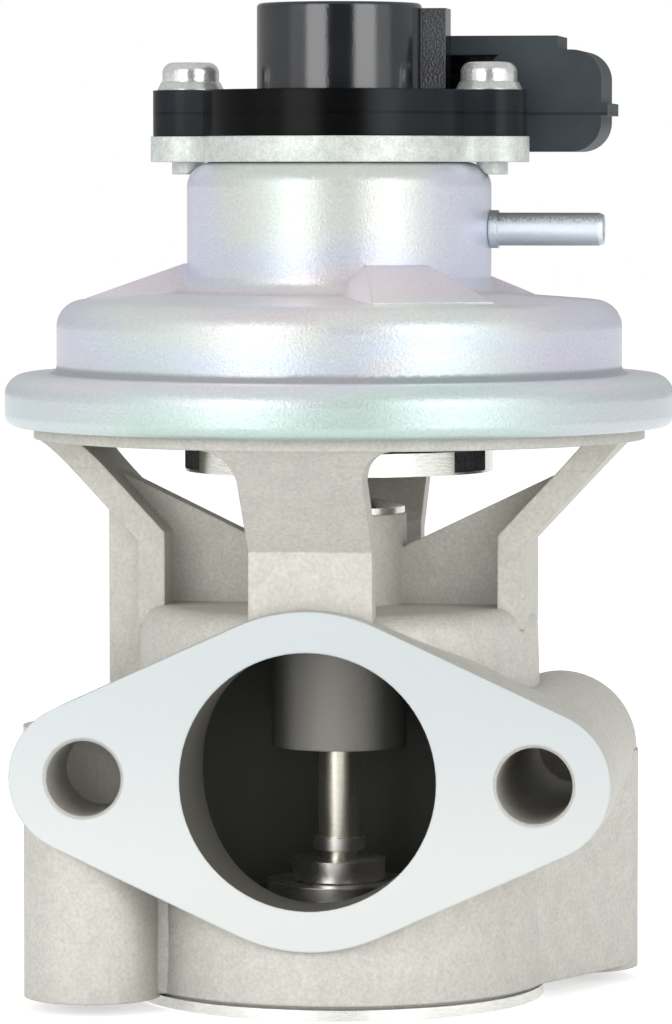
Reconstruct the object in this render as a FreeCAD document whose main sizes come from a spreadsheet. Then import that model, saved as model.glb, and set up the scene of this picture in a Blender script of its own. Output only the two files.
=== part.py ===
"""Vacuum operated EGR valve with a lift sensor, in millimetres.

The origin is the centre of the inlet face, under the valve stem. +Z points up
along the stem, -Y points out of the outlet flange and +X points along the
vacuum pipe.
"""

import FreeCAD, Part

import os
import re

import Sketcher
from FreeCAD import Vector

TINY = 0.001

DRIVING_SIZES = (
    # inlet face and barrel of the casting
    ("gasket_thick", 1.3),
    ("gasket_rad", 25.1),
    ("inlet_rad", 15.0),
    ("barrel_foot_rad", 25.6),
    ("barrel_top_rad", 24.2),
    ("relief_deep", 1.0),
    ("relief_tall", 0.5),
    ("deck_level", 47.7),
    ("deck_round", 3.0),
    # chamber and seat
    ("partition_low", 8.0),
    ("chamber_floor", 11.0),
    ("chamber_roof", 44.1),
    ("chamber_rad", 18.0),
    ("seat_rad", 9.0),
    ("seat_top", 13.6),
    ("seat_bore_rad", 4.6),
    ("seat_cone_width", 1.1),
    # outlet flange
    ("outlet_level", 28.4),
    ("outlet_rad", 15.3),
    ("flange_reach", 26.0),
    ("flange_thick", 10.0),
    ("flange_middle_rad", 20.15),
    ("flange_ear_rad", 9.0),
    ("flange_hole_half", 26.85),
    ("flange_hole_rad", 4.5),
    ("flange_hole_chamfer", 0.4),
    ("blind_hole_deep", 13.0),
    ("bore_end", 9.0),
    ("neck_pipe_rad", 19.0),
    ("long_boss_rad", 9.5),
    ("long_boss_across", 25.2),
    ("long_boss_end", 19.5),
    # inlet lugs
    ("lug_across", 27.5),
    ("lug_along", 17.0),
    ("front_lug_rad", 8.2),
    ("rear_lug_rad", 7.6),
    ("front_lug_top", 34.0),
    ("lug_web_along", 14.0),
    ("lug_web_thick", 8.0),
    ("lug_hole_rad", 3.4),
    ("lug_hole_deep", 18.0),
    # basket: legs, rib, webs and top ring
    ("leg_rad", 23.6),
    ("leg_thick", 3.3),
    ("leg_wide", 14.8),
    ("leg_bend", 55.4),
    ("leg_flare_thick", 4.3),
    ("leg_margin", 1.0),
    ("leg_knee", 4.0),
    ("rib_deep", 4.0),
    ("rib_thick", 10.0),
    ("web_thick", 3.5),
    ("web_low", 54.7),
    ("web_slope", 0.48),
    ("ring_low", 67.9),
    ("ring_floor_thick", 2.0),
    ("ring_wall", 3.2),
    ("ring_tall", 4.1),
    ("ring_step", 2.2),
    ("ring_lip_rad", 39.4),
    ("vent_hole_rad", 10.5),
    # stem guide
    ("guide_boss_rad", 8.2),
    ("guide_low", 30.2),
    ("guide_top", 58.7),
    ("bush_rad", 4.6),
    ("stem_seal_thick", 1.7),
    # moving set
    ("stem_rad", 2.5),
    ("running_gap", 0.05),
    ("tail_rad", 2.2),
    ("tail_low", 11.3),
    ("tail_head_rad", 3.3),
    ("tail_head_thick", 0.9),
    ("disc_rad", 5.65),
    ("disc_level", 13.8),
    ("disc_thick", 2.5),
    ("collar_low", 17.4),
    ("collar_thick", 1.6),
    ("collar_rad", 3.15),
    ("shoulder_level", 70.2),
    ("spigot_rad", 2.0),
    ("spigot_top", 77.6),
    ("plate_thick", 1.2),
    ("lower_plate_rad", 20.0),
    ("upper_plate_rad", 21.0),
    ("spring_pilot_gap", 0.6),
    ("spring_pilot_tall", 3.0),
    ("nut_flats", 7.0),
    ("nut_tall", 3.2),
    # diaphragm
    ("rubber_thick", 1.0),
    ("bead_thick", 2.5),
    ("bead_wide", 3.4),
    ("fold_rise", 3.2),
    # return spring
    ("spring_margin", 5.9),
    ("spring_wire_rad", 1.0),
    ("spring_turns", 5.0),
    ("spring_seat_thick", 1.2),
    ("spring_end_gap", 0.1),
    # vent
    ("cover_rad", 18.75),
    ("cover_wall", 1.0),
    ("cover_low", 63.9),
    ("cover_tall", 2.8),
    ("cover_hole_rad", 6.0),
    ("window_wide", 7.2),
    ("window_sill", 0.3),
    ("window_turn", 23.0),
    ("filter_hole_rad", 8.0),
    # pressed can
    ("can_wall", 1.2),
    ("crimp_gap", 0.1),
    ("rim_rise", 1.45),
    ("rim_lip", 3.1),
    ("rim_round", 2.6),
    ("dome_step", 5.0),
    ("dome_tall", 8.7),
    ("dome_rise", 1.2),
    ("dome_round", 3.3),
    ("neck_rad", 18.5),
    ("neck_tall", 16.9),
    ("neck_round", 3.0),
    ("neck_foot_round", 2.0),
    ("sheet_bend", 1.0),
    ("can_hole_rad", 8.4),
    # pressed gussets on the dome
    ("gusset_root", 2.5),
    ("gusset_margin", 4.6),
    ("gusset_tall", 4.6),
    ("gusset_toe", 0.15),
    ("gusset_crest", 8.0),
    ("gusset_base", 17.0),
    ("gusset_sink", 0.5),
    # vacuum pipe
    ("pipe_drop", 8.1),
    ("pipe_rad", 2.0),
    ("pipe_bore_rad", 1.3),
    ("pipe_long", 13.8),
    ("pipe_collar_rad", 2.3),
    ("pipe_collar_thick", 1.0),
    ("pipe_chamfer", 0.5),
    # sensor plate and base
    ("sensor_plate_thick", 3.1),
    ("base_rad", 16.6),
    ("base_tall", 5.6),
    ("ear_half", 18.3),
    ("ear_rad", 4.6),
    ("plate_margin", 0.3),
    ("ear_fillet", 3.0),
    ("screw_rad", 1.95),
    ("screw_gap", 0.1),
    ("collar_drop", 1.5),
    ("screw_collar_rad", 2.3),
    ("snout_rad", 7.8),
    ("snout_drop", 2.8),
    ("sensor_bore_rad", 7.0),
    ("oring_rad", 0.9),
    # sensor cap
    ("cap_rad", 10.0),
    ("cap_wall", 1.6),
    ("cap_tall", 10.5),
    ("cap_round", 0.5),
    ("tab_reach", 13.0),
    ("tab_wide", 5.0),
    ("tab_drop", 0.6),
    # connector hood
    ("hood_left", 17.2),
    ("hood_wide", 14.1),
    ("hood_rise", 1.3),
    ("hood_tall", 12.4),
    ("hood_front", 6.0),
    ("hood_long", 14.0),
    ("hood_wall", 1.3),
    ("hood_end_wall", 3.0),
    ("hood_round", 3.6),
    ("hood_key_wide", 0.8),
    ("hood_key_tall", 1.5),
    ("hood_key_rise", 4.4),
    ("latch_left", 12.3),
    ("latch_wide", 13.6),
    ("latch_thick", 1.7),
    ("latch_long", 12.0),
    ("bridge_left", 9.0),
    ("bridge_rise", 10.7),
    ("bridge_long", 9.0),
    ("fin_left", 12.9),
    ("fin_front", 8.0),
    ("fin_long", 4.0),
    ("blade_wide", 1.5),
    ("blade_thick", 0.64),
    ("blade_long", 8.0),
    ("blade_pitch", 3.6),
    # screws and washers
    ("washer_rad", 4.1),
    ("washer_thick", 1.0),
    ("head_rad", 3.45),
    ("head_tall", 2.4),
    ("head_round", 1.3),
    ("recess_deep", 1.1),
    ("recess_long", 4.0),
    ("recess_wide", 0.9),
    # sensor works
    ("plunger_rad", 1.5),
    ("plunger_tip_rad", 2.4),
    ("plunger_tip_tall", 1.6),
    ("plunger_gap", 0.1),
    ("guide_ring_tall", 3.0),
    ("carrier_rise", 2.7),
    ("carrier_tall", 4.0),
    ("carrier_rad", 4.6),
    ("card_wide", 6.2),
    ("card_thick", 0.6),
    ("card_near", 5.5),
    ("card_rise", 15.7),
    ("wiper_wide", 1.6),
    ("wiper_thick", 0.4),
    ("wiper_gap", 0.05),
    ("small_spring_rad", 2.8),
    ("small_wire_rad", 0.25),
    ("small_spring_turns", 7.0),
)

# radii and levels that follow from the driving sizes
RING_RAD = "(ring_lip_rad - ring_step)"
RING_TOP = "(ring_low + ring_tall)"
RIM_RAD = "(ring_lip_rad + crimp_gap + can_wall)"
RIM_LOW = "(ring_low + rim_rise)"
RIM_TOP = f"({RING_TOP} + bead_thick + can_wall)"
DOME_RAD = "(ring_lip_rad - dome_step)"
DOME_TOP = f"({RIM_TOP} + dome_tall)"
NECK_TOP = f"({DOME_TOP} + neck_tall)"
SPRING_RAD = "(neck_rad - spring_margin)"
PIPE_END = "(neck_rad + pipe_long)"
SNOUT_LOW = f"({NECK_TOP} - snout_drop)"
BASE_LOW = f"({NECK_TOP} + sensor_plate_thick)"
BASE_TOP = f"({BASE_LOW} + base_tall)"
HOOD_LOW = f"({NECK_TOP} + hood_rise)"
CARRIER_LOW = f"({NECK_TOP} + carrier_rise)"
CARRIER_TOP = f"({CARRIER_LOW} + carrier_tall)"

doc = FreeCAD.newDocument("egr_valve")
sheet = doc.addObject("Spreadsheet::Sheet", "sizes")
for row, (alias, number) in enumerate(DRIVING_SIZES, start=1):
    sheet.set(f"A{row}", alias)
    sheet.set(f"B{row}", str(number))
    sheet.setAlias(f"B{row}", alias)
doc.recompute()
ALIASES = {alias for alias, number in DRIVING_SIZES}


def size(expression):
    """The number that a sheet expression gives now."""
    return float(sheet.evalExpression(expression))


def bound(expression):
    """The same expression as other objects read it, with the sheet named."""
    return re.sub(
        r"[a-z_]+",
        lambda found: "sizes." + found.group() if found.group() in ALIASES else found.group(),
        expression,
    )


def new_body(label):
    body = doc.addObject("PartDesign::Body", label)
    body.Label = label
    return body


def sketch_on(body, plane, out="0", rise="0"):
    """A sketch parallel to one of the body's own planes."""
    sketch = body.newObject("Sketcher::SketchObject", f"{body.Name}_sketch")
    own_plane = next(item for item in body.Origin.OriginFeatures if item.Role == plane)
    sketch.AttachmentSupport = (own_plane, [""])
    sketch.MapMode = "FlatFace"
    sketch.setExpression("AttachmentOffset.Base.z", bound(out))
    sketch.setExpression("AttachmentOffset.Base.y", bound(rise))
    return sketch


def fix_point(sketch, geometry, end, across, up):
    for kind, expression in (("DistanceX", across), ("DistanceY", up)):
        rule = Sketcher.Constraint(kind, -1, 1, geometry, end, size(expression))
        number = sketch.addConstraint(rule)
        sketch.setExpression(f"Constraints[{number}]", bound(expression))


def fix_radius(sketch, geometry, radius):
    number = sketch.addConstraint(Sketcher.Constraint("Radius", geometry, size(radius)))
    sketch.setExpression(f"Constraints[{number}]", bound(radius))


def draw_polygon(sketch, corners):
    """Close a straight-sided outline through corners given as sheet expressions."""
    points = [Vector(size(across), size(up), 0) for across, up in corners]
    count = len(points)
    first = sketch.GeometryCount
    lines = [Part.LineSegment(points[i], points[(i + 1) % count]) for i in range(count)]
    sketch.addGeometry(lines, False)
    sketch.addConstraint([
        Sketcher.Constraint("Coincident", first + i, 2, first + (i + 1) % count, 1) for i in range(count)
    ])
    for i, (across, up) in enumerate(corners):
        fix_point(sketch, first + i, 1, across, up)


def draw_box(sketch, left, right, low, high):
    draw_polygon(sketch, [(left, low), (right, low), (right, high), (left, high)])


def draw_circle(sketch, across, up, radius):
    centre = Vector(size(across), size(up), 0)
    number = sketch.addGeometry(Part.Circle(centre, Vector(0, 0, 1), size(radius)), False)
    fix_point(sketch, number, 3, across, up)
    fix_radius(sketch, number, radius)


def draw_arc(sketch, across, up, radius, start, end):
    """An arc between two angles in degrees, with its centre and radius fixed."""
    centre = Vector(size(across), size(up), 0)
    circle = Part.Circle(centre, Vector(0, 0, 1), size(radius))
    turn = FreeCAD.Units.Quantity("1 deg").getValueAs("rad").Value
    number = sketch.addGeometry(Part.ArcOfCircle(circle, start * turn, end * turn), False)
    fix_point(sketch, number, 3, across, up)
    fix_radius(sketch, number, radius)
    return number


def join_arcs(sketch, arcs):
    """Close the outline with lines that leave each arc and enter the next tangentially."""
    for arc, following in zip(arcs, arcs[1:] + arcs[:1]):
        start = sketch.getPoint(arc, 2)
        end = sketch.getPoint(following, 1)
        line = sketch.addGeometry(Part.LineSegment(start, end), False)
        sketch.addConstraint(Sketcher.Constraint("Tangent", arc, 2, line, 1))
        sketch.addConstraint(Sketcher.Constraint("Tangent", line, 2, following, 1))


def pad(body, sketch, length, backwards=False, both_ways=False):
    feature = body.newObject("PartDesign::Pad", f"{body.Name}_pad")
    feature.Profile = sketch
    feature.Reversed = backwards
    feature.SideType = "Symmetric" if both_ways else "One side"
    feature.setExpression("Length", bound(length))
    doc.recompute()
    return feature


def pocket(body, sketch, length, backwards=False, both_ways=False):
    volume_before = body.Shape.Volume
    feature = body.newObject("PartDesign::Pocket", f"{body.Name}_pocket")
    feature.Profile = sketch
    feature.Reversed = backwards
    feature.SideType = "Symmetric" if both_ways else "One side"
    feature.setExpression("Length", bound(length))
    doc.recompute()
    if body.Shape.Volume >= volume_before - TINY:
        raise RuntimeError(f"{feature.Name} cuts nothing")
    return feature


def revolve(body, sketch, axis="V_Axis"):
    feature = body.newObject("PartDesign::Revolution", f"{body.Name}_revolution")
    feature.Profile = sketch
    feature.ReferenceAxis = (sketch, [axis])
    feature.Angle = 360
    doc.recompute()
    return feature


def polar_pattern(body, features, sketch, axis, count):
    pattern = body.newObject("PartDesign::PolarPattern", f"{body.Name}_pattern")
    pattern.Originals = features
    pattern.Axis = (sketch, [axis])
    pattern.Angle = 360
    pattern.Occurrences = count
    body.Tip = pattern
    doc.recompute()
    return pattern


def edges_at(body, places):
    """Names of the edges that pass through the given places."""
    names = set()
    for place in places:
        point = Part.Vertex(*[size(expression) for expression in place])
        found = [
            f"Edge{number}"
            for number, edge in enumerate(body.Shape.Edges, start=1)
            if edge.distToShape(point)[0] < TINY
        ]
        if not found:
            raise RuntimeError(f"{body.Label} has no edge at {place}")
        names.update(found)
    return sorted(names)


def blend_edges(body, kind, places, amount):
    """Fillet or chamfer the edges through the given places."""
    solid = body.Tip
    edges = edges_at(body, places)
    feature = body.newObject(f"PartDesign::{kind}", f"{body.Name}_{kind.lower()}")
    feature.Base = (solid, edges)
    feature.setExpression("Radius" if kind == "Fillet" else "Size", bound(amount))
    doc.recompute()
    return feature


def turned_part(label, corners):
    """A body revolved about the valve axis from its radius and height outline."""
    body = new_body(label)
    sketch = sketch_on(body, "XZ_Plane")
    draw_polygon(sketch, corners)
    revolve(body, sketch)
    return body


def ring(label, inner, outer, low, high):
    return turned_part(label, [(inner, low), (outer, low), (outer, high), (inner, high)])


# Casting


def outlet_flange(body):
    """Diamond flange: two middle arcs and two ears joined by tangent lines."""
    lean = size("asin((flange_middle_rad - flange_ear_rad) / flange_hole_half)")
    sketch = sketch_on(body, "XZ_Plane", out="flange_reach")
    join_arcs(sketch, [
        draw_arc(sketch, "0", "outlet_level", "flange_middle_rad", 90 - lean, 90 + lean),
        draw_arc(sketch, "-flange_hole_half", "outlet_level", "flange_ear_rad", 90 + lean, 270 - lean),
        draw_arc(sketch, "0", "outlet_level", "flange_middle_rad", 270 - lean, 270 + lean),
        draw_arc(sketch, "flange_hole_half", "outlet_level", "flange_ear_rad", lean - 90, 90 - lean),
    ])
    pad(body, sketch, "flange_thick", backwards=True)
    neck = sketch_on(body, "XZ_Plane", out="flange_reach")
    draw_circle(neck, "0", "outlet_level", "neck_pipe_rad")
    pad(body, neck, "flange_reach", backwards=True)


def inlet_lugs(body):
    """Bolt lugs front left and back right of the inlet face, webs and the long boss."""
    front = sketch_on(body, "XY_Plane", out="gasket_thick")
    draw_circle(front, "-lug_across", "-lug_along", "front_lug_rad")
    pad(body, front, "front_lug_top - gasket_thick")
    rear = sketch_on(body, "XY_Plane", out="gasket_thick")
    draw_circle(rear, "lug_across", "lug_along", "rear_lug_rad")
    pad(body, rear, "outlet_level - gasket_thick")

    foot = "gasket_thick + relief_tall"
    front_web = sketch_on(body, "XY_Plane", out=foot)
    draw_box(front_web, "-lug_across", "-chamber_rad",
             "-lug_web_along - lug_web_thick / 2", "-lug_web_along + lug_web_thick / 2")
    pad(body, front_web, f"outlet_level - ({foot})")
    aim = size("atan(lug_along / lug_across)")
    spread = size("acos((barrel_top_rad - rear_lug_rad) / sqrt(lug_across^2 + lug_along^2))")
    rear_web = sketch_on(body, "XY_Plane", out=foot)
    join_arcs(rear_web, [
        draw_arc(rear_web, "lug_across", "lug_along", "rear_lug_rad", aim - spread, aim + spread),
        draw_arc(rear_web, "0", "0", "barrel_top_rad", aim + spread, aim - spread + 360),
    ])
    pad(body, rear_web, f"outlet_level - ({foot})")

    boss = sketch_on(body, "XZ_Plane", out="flange_reach - flange_thick / 2")
    draw_circle(boss, "long_boss_across", "outlet_level", "long_boss_rad")
    pad(body, boss, "flange_reach - flange_thick / 2 + long_boss_end", backwards=True)


def gas_passages(body):
    """Inlet port, seat bore and valve chamber on the stem, outlet bore from the flange."""
    chamber = sketch_on(body, "XY_Plane", out="chamber_floor")
    draw_circle(chamber, "0", "0", "chamber_rad")
    pocket(body, chamber, "chamber_roof - chamber_floor", backwards=True)
    seat = sketch_on(body, "XY_Plane", out="partition_low")
    draw_circle(seat, "0", "0", "seat_rad")
    pocket(body, seat, "chamber_floor - partition_low", backwards=True)
    inlet = sketch_on(body, "XY_Plane", out="gasket_thick")
    draw_circle(inlet, "0", "0", "inlet_rad")
    pocket(body, inlet, "partition_low - gasket_thick", backwards=True)
    outlet = sketch_on(body, "XZ_Plane", out="flange_reach")
    draw_circle(outlet, "0", "outlet_level", "outlet_rad")
    pocket(body, outlet, "flange_reach - bore_end")


def bolt_holes(body):
    blind = sketch_on(body, "XZ_Plane", out="flange_reach")
    draw_circle(blind, "-flange_hole_half", "outlet_level", "flange_hole_rad")
    pocket(body, blind, "blind_hole_deep")
    through = sketch_on(body, "XZ_Plane", out="flange_reach")
    draw_circle(through, "flange_hole_half", "outlet_level", "flange_hole_rad")
    pocket(body, through, "flange_reach + long_boss_end + 1")
    lugs = sketch_on(body, "XY_Plane", out="gasket_thick")
    draw_circle(lugs, "-lug_across", "-lug_along", "lug_hole_rad")
    draw_circle(lugs, "lug_across", "lug_along", "lug_hole_rad")
    pocket(body, lugs, "lug_hole_deep", backwards=True)
    blend_edges(body, "Chamfer", [
        ("-flange_hole_half - flange_hole_rad", "-flange_reach", "outlet_level"),
        ("flange_hole_half - flange_hole_rad", "-flange_reach", "outlet_level"),
    ], "flange_hole_chamfer")


def legs(body):
    """Four legs that flare out to the ring, and the rib that backs the left one down to its foot."""
    inside = "leg_rad - leg_thick"
    flare_top = "(ring_low + ring_floor_thick / 2)"
    flare_reach = f"({RING_RAD} - leg_margin)"
    slope = f"(({flare_top} - leg_bend) / ({flare_reach} - leg_rad))"
    leg = sketch_on(body, "XZ_Plane")
    draw_polygon(leg, [
        (inside, "chamber_roof + 1"),
        ("leg_rad", "chamber_roof + 1"),
        ("leg_rad", "leg_bend"),
        (flare_reach, flare_top),
        (f"{flare_reach} - leg_flare_thick", flare_top),
        (inside, f"leg_bend + (leg_flare_thick - leg_thick) * {slope}"),
    ])
    one_leg = pad(body, leg, "leg_wide", both_ways=True)

    knee_low = "ring_low - 0.9 * leg_knee"
    knee_high = "ring_low + leg_margin / 4"
    knee = sketch_on(body, "XZ_Plane")
    outer_low = f"leg_rad + ({knee_low} - leg_bend) / {slope}"
    outer_high = f"leg_rad + ({knee_high} - leg_bend) / {slope}"
    draw_polygon(knee, [
        (outer_low, knee_low),
        (outer_high, knee_high),
        (f"{outer_high} - leg_flare_thick", knee_high),
        (f"{outer_low} - leg_flare_thick", knee_low),
    ])
    both_knees = pad(body, knee, "leg_wide + 1.8 * leg_knee", both_ways=True)
    hollows = sketch_on(body, "YZ_Plane", out="leg_rad")
    draw_circle(hollows, "-leg_wide / 2 - leg_knee", "ring_low - leg_knee", "0.99 * leg_knee")
    draw_circle(hollows, "leg_wide / 2 + leg_knee", "ring_low - leg_knee", "0.99 * leg_knee")
    rounded = pocket(body, hollows, RING_RAD, backwards=True)
    polar_pattern(body, [one_leg, both_knees, rounded], leg, "V_Axis", 4)

    rib = sketch_on(body, "XZ_Plane")
    draw_polygon(rib, [
        ("-leg_rad - rib_deep", "gasket_thick + relief_tall"),
        (f"-({inside})", "gasket_thick + relief_tall"),
        (f"-({inside})", "leg_bend"),
        ("-leg_rad", "leg_bend"),
        ("-leg_rad - rib_deep", f"leg_bend + rib_deep * {slope}"),
    ])
    pad(body, rib, "rib_thick", both_ways=True)


def top_ring(body):
    """Ring that carries the can, with the step that the crimp grips."""
    outline = sketch_on(body, "XZ_Plane")
    floor_top = "ring_low + ring_floor_thick"
    draw_polygon(outline, [
        ("vent_hole_rad", "ring_low"),
        (RING_RAD, "ring_low"),
        (RING_RAD, f"{RIM_LOW} + can_wall"),
        ("ring_lip_rad", f"{RIM_LOW} + can_wall"),
        ("ring_lip_rad", RING_TOP),
        (f"{RING_RAD} - ring_wall", RING_TOP),
        (f"{RING_RAD} - ring_wall", floor_top),
        ("vent_hole_rad", floor_top),
    ])
    revolve(body, outline)


def basket_webs(body):
    """One thin wall from leg to leg under the vent, through the guide boss."""
    webs = sketch_on(body, "XZ_Plane")
    leg_middle = "(leg_rad - leg_thick / 2)"
    reach = f"((leg_rad + {RING_RAD}) / 2)"
    top = f"web_low + ({reach} - guide_boss_rad) * web_slope"
    draw_polygon(webs, [
        (f"-{leg_middle}", "deck_level - 1"),
        (leg_middle, "deck_level - 1"),
        (leg_middle, "leg_bend"),
        (reach, top),
        ("guide_boss_rad / 2", "web_low - guide_boss_rad / 2 * web_slope"),
        ("-guide_boss_rad / 2", "web_low - guide_boss_rad / 2 * web_slope"),
        (f"-{reach}", top),
        (f"-{leg_middle}", "leg_bend"),
    ])
    pad(body, webs, "web_thick", both_ways=True)


def guide_boss(body):
    boss = sketch_on(body, "XY_Plane", out="guide_low")
    draw_circle(boss, "0", "0", "guide_boss_rad")
    pad(body, boss, "guide_top - guide_low")
    bore = sketch_on(body, "XY_Plane", out="guide_low")
    draw_circle(bore, "0", "0", "bush_rad")
    pocket(body, bore, "guide_top - guide_low", backwards=True)


def valve_body():
    """The casting, from its barrel up to the ring that carries the can."""
    body = turned_part("valve_body", [
        ("0", "gasket_thick"),
        ("barrel_foot_rad - relief_deep", "gasket_thick"),
        ("barrel_foot_rad - relief_deep", "gasket_thick + relief_tall"),
        ("barrel_foot_rad", "gasket_thick + relief_tall"),
        ("barrel_top_rad", "deck_level"),
        ("0", "deck_level"),
    ])
    blend_edges(body, "Fillet", [("-barrel_top_rad", "0", "deck_level")], "deck_round")
    outlet_flange(body)
    inlet_lugs(body)
    gas_passages(body)
    bolt_holes(body)
    legs(body)
    top_ring(body)
    basket_webs(body)
    guide_boss(body)
    return body


def inlet_gasket():
    return ring("inlet_gasket", "inlet_rad", "gasket_rad", "0", "gasket_thick")


def valve_seat():
    """Seat ring with a bevelled mouth."""
    return turned_part("valve_seat", [
        ("seat_bore_rad", "partition_low"),
        ("seat_rad", "partition_low"),
        ("seat_rad", "seat_top"),
        ("seat_bore_rad + seat_cone_width", "seat_top"),
        ("seat_bore_rad", "seat_top - seat_cone_width"),
    ])


def guide_bush():
    return ring("guide_bush", "stem_rad + running_gap", "bush_rad", "guide_low", "guide_top")


def stem_seal():
    """Seal cup that closes the top of the guide boss round the stem."""
    return turned_part("stem_seal", [
        ("stem_rad + running_gap", "guide_top"),
        ("guide_boss_rad - 0.2", "guide_top"),
        ("guide_boss_rad - 0.2", "guide_top + stem_seal_thick / 2"),
        ("bush_rad", "guide_top + stem_seal_thick"),
        ("stem_rad + running_gap", "guide_top + stem_seal_thick"),
    ])


# Moving set


def valve_stem():
    """Ground stem: riveted tail below the disc, shoulder and spigot for the plates."""
    return turned_part("valve_stem", [
        ("0", "tail_low"),
        ("tail_head_rad", "tail_low"),
        ("tail_head_rad", "tail_low + tail_head_thick"),
        ("tail_rad", "tail_low + tail_head_thick"),
        ("tail_rad", "collar_low"),
        ("stem_rad", "collar_low"),
        ("stem_rad", "shoulder_level"),
        ("spigot_rad", "shoulder_level"),
        ("spigot_rad", "spigot_top"),
        ("0", "spigot_top"),
    ])


def valve_disc():
    """Poppet disc with its seating cone underneath."""
    bottom = "tail_low + tail_head_thick"
    return turned_part("valve_disc", [
        ("tail_rad", bottom),
        (f"disc_rad - disc_level + {bottom}", bottom),
        ("disc_rad", "disc_level"),
        ("disc_rad", "disc_level + disc_thick"),
        ("tail_rad", "disc_level + disc_thick"),
    ])


def stem_collar():
    return ring("stem_collar", "stem_rad", "collar_rad", "collar_low", "collar_low + collar_thick")


def lower_plate():
    top = "shoulder_level + plate_thick"
    return ring("lower_plate", "spigot_rad", "lower_plate_rad", "shoulder_level", top)


def upper_plate():
    """Upper diaphragm plate with the upturned pilot that centres the return spring."""
    low = "shoulder_level + plate_thick + rubber_thick"
    high = f"{low} + plate_thick"
    pilot_in = f"({SPRING_RAD} + spring_wire_rad + spring_pilot_gap)"
    return turned_part("upper_plate", [
        ("spigot_rad", low),
        ("upper_plate_rad", low),
        ("upper_plate_rad", high),
        (f"{pilot_in} + plate_thick", high),
        (f"{pilot_in} + plate_thick", f"{high} + spring_pilot_tall"),
        (pilot_in, f"{high} + spring_pilot_tall"),
        (pilot_in, high),
        ("spigot_rad", high),
    ])


def stem_nut():
    """Hexagon nut that clamps the plates on the spigot."""
    low = "shoulder_level + 2 * plate_thick + rubber_thick"
    body = new_body("stem_nut")
    hexagon = sketch_on(body, "XY_Plane", out=low)
    corner = "nut_flats / 2 / cos(30)"
    draw_polygon(hexagon, [(f"{corner} * cos({60 * i})", f"{corner} * sin({60 * i})") for i in range(6)])
    pad(body, hexagon, "nut_tall")
    hole = sketch_on(body, "XY_Plane", out=low)
    draw_circle(hole, "0", "0", "spigot_rad")
    pocket(body, hole, "nut_tall", backwards=True)
    return body


def diaphragm():
    """Rubber diaphragm: flat middle, rolled fold and the bead under the crimp."""
    low = "shoulder_level + plate_thick"
    fold_top = f"{low} + fold_rise"
    bead_outer = "(ring_lip_rad - rim_round + can_wall)"
    bead_inner = f"({bead_outer} - bead_wide)"
    bead_middle = f"{RING_TOP} + bead_thick / 2"
    fold_rad = f"(upper_plate_rad + {bead_inner}) / 2"
    return turned_part("diaphragm", [
        ("spigot_rad", low),
        ("upper_plate_rad", low),
        (f"{fold_rad} - rubber_thick", fold_top),
        (f"{fold_rad} + rubber_thick", fold_top),
        (bead_inner, f"{bead_middle} - rubber_thick / 2"),
        (bead_inner, RING_TOP),
        (bead_outer, RING_TOP),
        (bead_outer, f"{RING_TOP} + bead_thick"),
        (bead_inner, f"{RING_TOP} + bead_thick"),
        (bead_inner, f"{bead_middle} + rubber_thick / 2"),
        (f"{fold_rad} + rubber_thick", f"{fold_top} + rubber_thick"),
        (f"{fold_rad} - rubber_thick", f"{fold_top} + rubber_thick"),
        ("upper_plate_rad", f"{low} + rubber_thick"),
        ("spigot_rad", f"{low} + rubber_thick"),
    ])


def coil_spring(label, radius, wire, turns, low, high):
    """Helical spring of round wire between two levels."""
    body = new_body(label)
    section = sketch_on(body, "XZ_Plane")
    draw_circle(section, radius, f"{low} + {wire}", wire)
    helix = body.newObject("PartDesign::AdditiveHelix", f"{label}_helix")
    helix.Profile = section
    helix.ReferenceAxis = (section, ["V_Axis"])
    helix.Mode = "height-turns-angle"
    helix.setExpression("Height", bound(f"{high} - ({low}) - 2 * {wire}"))
    helix.setExpression("Turns", bound(turns))
    helix.Angle = 0
    doc.recompute()
    return body


def return_spring():
    low = "shoulder_level + 2 * plate_thick + rubber_thick + spring_end_gap"
    high = f"{NECK_TOP} - can_wall - spring_seat_thick - spring_end_gap"
    return coil_spring("return_spring", SPRING_RAD, "spring_wire_rad", "spring_turns", low, high)


def spring_seat():
    """Pressed ring that holds the top of the return spring under the neck."""
    high = f"({NECK_TOP} - can_wall)"
    outer = f"({SPRING_RAD} + spring_wire_rad + spring_end_gap + plate_thick)"
    return turned_part("spring_seat", [
        ("can_hole_rad", f"{high} - spring_seat_thick"),
        (f"{outer} - plate_thick", f"{high} - spring_seat_thick"),
        (f"{outer} - plate_thick", f"{high} - spring_seat_thick - spring_wire_rad"),
        (outer, f"{high} - spring_seat_thick - spring_wire_rad"),
        (outer, high),
        ("can_hole_rad", high),
    ])


# Vent under the top ring


def window_boxes(body, reach, wide):
    """A sketch of the four blocks that stand in the vent windows, out to the given reach."""
    sketch = sketch_on(body, "XY_Plane", out="cover_low + window_sill")
    for turn in ("window_turn", "180 - window_turn", "180 + window_turn", "-window_turn"):
        corners = [
            (f"{along} * cos({turn}) - {side} * sin({turn})", f"{along} * sin({turn}) + {side} * cos({turn})")
            for along, side in (
                ("filter_hole_rad * 1.5", f"({wide}) / -2"),
                (f"({reach})", f"({wide}) / -2"),
                (f"({reach})", f"({wide}) / 2"),
                ("filter_hole_rad * 1.5", f"({wide}) / 2"),
            )
        ]
        draw_polygon(sketch, corners)
    return sketch


def filter_cover():
    """Bright cup under the ring, with four windows that let the air in."""
    body = turned_part("filter_cover", [
        ("cover_hole_rad", "cover_low"),
        ("cover_rad", "cover_low"),
        ("cover_rad", "cover_low + cover_tall"),
        ("cover_rad - cover_wall", "cover_low + cover_tall"),
        ("cover_rad - cover_wall", "cover_low + cover_wall"),
        ("cover_hole_rad", "cover_low + cover_wall"),
    ])
    windows = window_boxes(body, "cover_rad + 1", "window_wide")
    pocket(body, windows, "cover_tall", backwards=True)
    return body


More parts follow.
